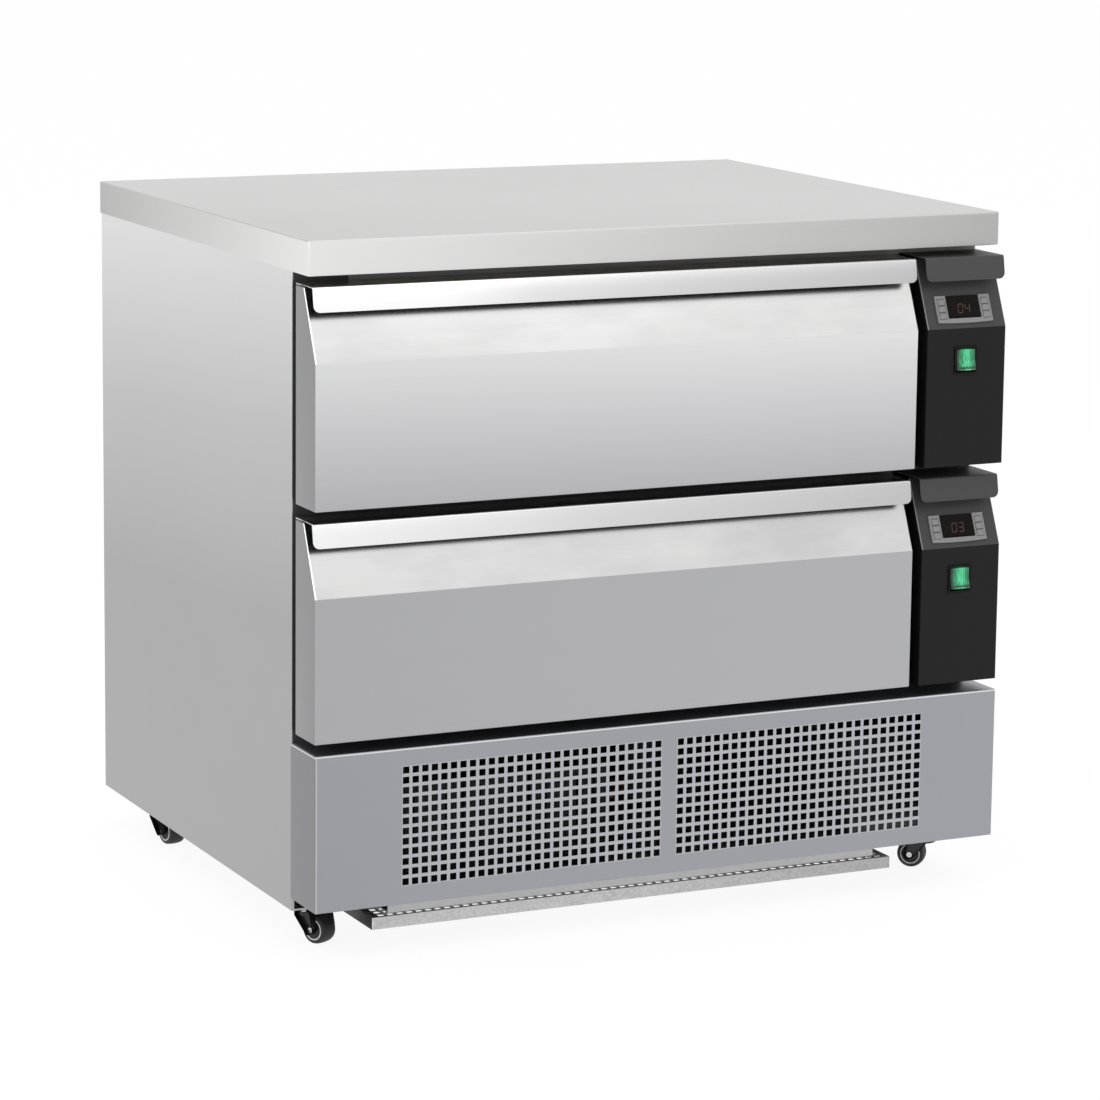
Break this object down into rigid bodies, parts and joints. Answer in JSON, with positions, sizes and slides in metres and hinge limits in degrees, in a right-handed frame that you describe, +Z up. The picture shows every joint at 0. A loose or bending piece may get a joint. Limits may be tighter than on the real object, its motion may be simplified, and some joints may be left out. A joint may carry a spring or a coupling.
{
  "type": "refrigerated drawer counter",
  "caption": "Free-standing stainless steel counter with two refrigerated pull-out drawers, a control column, a perforated base panel and swivel casters.",
  "frame": {"origin": "on the floor, in the middle of the overall width and depth", "axes": "+X to the right seen from the front, +Y to the back, +Z up"},
  "size_m": [0.9, 0.726, 0.83],
  "materials": {
    "stainless": "satin stainless steel",
    "galvanised": "galvanised steel",
    "black_coat": "satin black coating",
    "grey_plastic": "matte grey plastic",
    "black_plastic": "matte black plastic",
    "dark_window": "dark gloss window",
    "green_lens": "translucent green",
    "foam": "polyurethane foam",
    "seal": "soft dark seal",
    "tyre": "black tread",
    "fork_steel": "black coated steel",
    "zinc": "bright zinc",
    "coil_metal": "aluminium fins",
    "copper": "copper tube",
    "compressor_paint": "gloss black paint"
  },
  "bodies": {
    "cabinet": {"worktop": "stainless", "left_side_panel": "stainless", "right_side_panel": "stainless", "back_panel": "galvanised", "front_frame": "stainless", "insulation": "foam", "compartment_liners": "stainless", "cabinet_runners": "zinc", "base_chassis": "galvanised", "base_panel": "stainless", "bottom_guard": "galvanised", "upper_control_housing": "black_coat", "lower_control_housing": "black_coat", "controller_bezels": "grey_plastic", "display_windows": "dark_window", "switch_bezels": "black_plastic", "evaporators": "coil_metal", "compressor": "compressor_paint", "condenser_coil": "coil_metal", "condenser_fan_shroud": "black_plastic", "refrigerant_pipes": "copper", "electrical_box": "grey_plastic", "caster_plates": "zinc", "cable_gland": "black_plastic"},
    "condenser_fan": {"condenser_fan": "black_plastic"},
    "upper_drawer": {"upper_drawer_front": "stainless", "upper_drawer_core": "foam", "upper_drawer_gasket": "seal", "upper_drawer_box": "stainless"},
    "upper_middle_runners": {"upper_middle_runners": "zinc"},
    "upper_rocker": {"upper_switch_rocker": "green_lens"},
    "upper_evaporator_fan": {"upper_evaporator_fan": "black_plastic"},
    "upper_key_1": {"upper_key_1": "grey_plastic"},
    "upper_key_2": {"upper_key_2": "grey_plastic"},
    "upper_key_3": {"upper_key_3": "grey_plastic"},
    "upper_key_4": {"upper_key_4": "grey_plastic"},
    "upper_key_5": {"upper_key_5": "grey_plastic"},
    "upper_key_6": {"upper_key_6": "grey_plastic"},
    "lower_drawer": {"lower_drawer_front": "stainless", "lower_drawer_core": "foam", "lower_drawer_gasket": "seal", "lower_drawer_box": "stainless"},
    "lower_middle_runners": {"lower_middle_runners": "zinc"},
    "lower_rocker": {"lower_switch_rocker": "green_lens"},
    "lower_evaporator_fan": {"lower_evaporator_fan": "black_plastic"},
    "lower_key_1": {"lower_key_1": "grey_plastic"},
    "lower_key_2": {"lower_key_2": "grey_plastic"},
    "lower_key_3": {"lower_key_3": "grey_plastic"},
    "lower_key_4": {"lower_key_4": "grey_plastic"},
    "lower_key_5": {"lower_key_5": "grey_plastic"},
    "lower_key_6": {"lower_key_6": "grey_plastic"},
    "front_left_caster_fork": {"front_left_caster_fork": "fork_steel"},
    "front_left_caster_wheel": {"front_left_caster_wheel": "tyre"},
    "front_right_caster_fork": {"front_right_caster_fork": "fork_steel"},
    "front_right_caster_wheel": {"front_right_caster_wheel": "tyre"},
    "rear_left_caster_fork": {"rear_left_caster_fork": "fork_steel"},
    "rear_left_caster_wheel": {"rear_left_caster_wheel": "tyre"},
    "rear_right_caster_fork": {"rear_right_caster_fork": "fork_steel"},
    "rear_right_caster_wheel": {"rear_right_caster_wheel": "tyre"}
  },
  "joints": [
    {"name": "condenser_fan_spin", "type": "hinge", "parent": "cabinet", "child": "condenser_fan", "pos_m": [-0.18, -0.214, 0.1125], "axis": [0, 1, 0], "continuous": true},
    {"name": "upper_drawer_slide", "type": "slide", "parent": "cabinet", "child": "upper_drawer", "axis": [0, -1, 0], "range_m": [0, 0.52]},
    {"name": "upper_middle_runner_slide", "type": "slide", "parent": "cabinet", "child": "upper_middle_runners", "axis": [0, -1, 0], "range_m": [0, 0.26]},
    {"name": "upper_rocker_tilt", "type": "hinge", "parent": "cabinet", "child": "upper_rocker", "pos_m": [0.394, -0.35304, 0.655], "axis": [1, 0, 0], "range_deg": [0, 13]},
    {"name": "upper_evaporator_fan_spin", "type": "hinge", "parent": "cabinet", "child": "upper_evaporator_fan", "pos_m": [0.29, -0.2005, 0.704], "axis": [1, 0, 0], "continuous": true},
    {"name": "upper_key_1_press", "type": "slide", "parent": "cabinet", "child": "upper_key_1", "axis": [0, 0.9169, -0.3991], "range_m": [0, 0.0006], "stiffness_N_per_m": 400},
    {"name": "upper_key_2_press", "type": "slide", "parent": "cabinet", "child": "upper_key_2", "axis": [0, 0.9169, -0.3991], "range_m": [0, 0.0006], "stiffness_N_per_m": 400},
    {"name": "upper_key_3_press", "type": "slide", "parent": "cabinet", "child": "upper_key_3", "axis": [0, 0.9169, -0.3991], "range_m": [0, 0.0006], "stiffness_N_per_m": 400},
    {"name": "upper_key_4_press", "type": "slide", "parent": "cabinet", "child": "upper_key_4", "axis": [0, 0.9169, -0.3991], "range_m": [0, 0.0006], "stiffness_N_per_m": 400},
    {"name": "upper_key_5_press", "type": "slide", "parent": "cabinet", "child": "upper_key_5", "axis": [0, 0.9169, -0.3991], "range_m": [0, 0.0006], "stiffness_N_per_m": 400},
    {"name": "upper_key_6_press", "type": "slide", "parent": "cabinet", "child": "upper_key_6", "axis": [0, 0.9169, -0.3991], "range_m": [0, 0.0006], "stiffness_N_per_m": 400},
    {"name": "lower_drawer_slide", "type": "slide", "parent": "cabinet", "child": "lower_drawer", "axis": [0, -1, 0], "range_m": [0, 0.52]},
    {"name": "lower_middle_runner_slide", "type": "slide", "parent": "cabinet", "child": "lower_middle_runners", "axis": [0, -1, 0], "range_m": [0, 0.26]},
    {"name": "lower_rocker_tilt", "type": "hinge", "parent": "cabinet", "child": "lower_rocker", "pos_m": [0.394, -0.35304, 0.387], "axis": [1, 0, 0], "range_deg": [0, 13]},
    {"name": "lower_evaporator_fan_spin", "type": "hinge", "parent": "cabinet", "child": "lower_evaporator_fan", "pos_m": [0.29, -0.2005, 0.436], "axis": [1, 0, 0], "continuous": true},
    {"name": "lower_key_1_press", "type": "slide", "parent": "cabinet", "child": "lower_key_1", "axis": [0, 0.9169, -0.3991], "range_m": [0, 0.0006], "stiffness_N_per_m": 400},
    {"name": "lower_key_2_press", "type": "slide", "parent": "cabinet", "child": "lower_key_2", "axis": [0, 0.9169, -0.3991], "range_m": [0, 0.0006], "stiffness_N_per_m": 400},
    {"name": "lower_key_3_press", "type": "slide", "parent": "cabinet", "child": "lower_key_3", "axis": [0, 0.9169, -0.3991], "range_m": [0, 0.0006], "stiffness_N_per_m": 400},
    {"name": "lower_key_4_press", "type": "slide", "parent": "cabinet", "child": "lower_key_4", "axis": [0, 0.9169, -0.3991], "range_m": [0, 0.0006], "stiffness_N_per_m": 400},
    {"name": "lower_key_5_press", "type": "slide", "parent": "cabinet", "child": "lower_key_5", "axis": [0, 0.9169, -0.3991], "range_m": [0, 0.0006], "stiffness_N_per_m": 400},
    {"name": "lower_key_6_press", "type": "slide", "parent": "cabinet", "child": "lower_key_6", "axis": [0, 0.9169, -0.3991], "range_m": [0, 0.0006], "stiffness_N_per_m": 400},
    {"name": "front_left_swivel", "type": "hinge", "parent": "cabinet", "child": "front_left_caster_fork", "pos_m": [-0.4145, -0.261, 0.04], "axis": [0, 0, 1], "continuous": true},
    {"name": "front_left_roll", "type": "hinge", "parent": "front_left_caster_fork", "child": "front_left_caster_wheel", "pos_m": [-0.40901, -0.27278, 0.0175], "axis": [0.9063, 0.4226, 0], "continuous": true},
    {"name": "front_right_swivel", "type": "hinge", "parent": "cabinet", "child": "front_right_caster_fork", "pos_m": [0.4105, -0.261, 0.04], "axis": [0, 0, 1], "continuous": true},
    {"name": "front_right_roll", "type": "hinge", "parent": "front_right_caster_fork", "child": "front_right_caster_wheel", "pos_m": [0.40099, -0.25213, 0.0175], "axis": [-0.682, -0.7314, 0], "continuous": true},
    {"name": "rear_left_swivel", "type": "hinge", "parent": "cabinet", "child": "rear_left_caster_fork", "pos_m": [-0.4145, 0.224, 0.04], "axis": [0, 0, 1], "continuous": true},
    {"name": "rear_left_roll", "type": "hinge", "parent": "rear_left_caster_fork", "child": "rear_left_caster_wheel", "pos_m": [-0.41224, 0.2112, 0.0175], "axis": [0.9848, 0.1736, 0], "continuous": true},
    {"name": "rear_right_swivel", "type": "hinge", "parent": "cabinet", "child": "rear_right_caster_fork", "pos_m": [0.4105, 0.224, 0.04], "axis": [0, 0, 1], "continuous": true},
    {"name": "rear_right_roll", "type": "hinge", "parent": "rear_right_caster_fork", "child": "rear_right_caster_wheel", "pos_m": [0.41386, 0.21144, 0.0175], "axis": [0.9659, 0.2588, 0], "continuous": true}
  ],
  "couplings": [
    {"joint": "upper_middle_runner_slide", "follows": "upper_drawer_slide", "ratio": 0.5},
    {"joint": "lower_middle_runner_slide", "follows": "lower_drawer_slide", "ratio": 0.5}
  ]
}
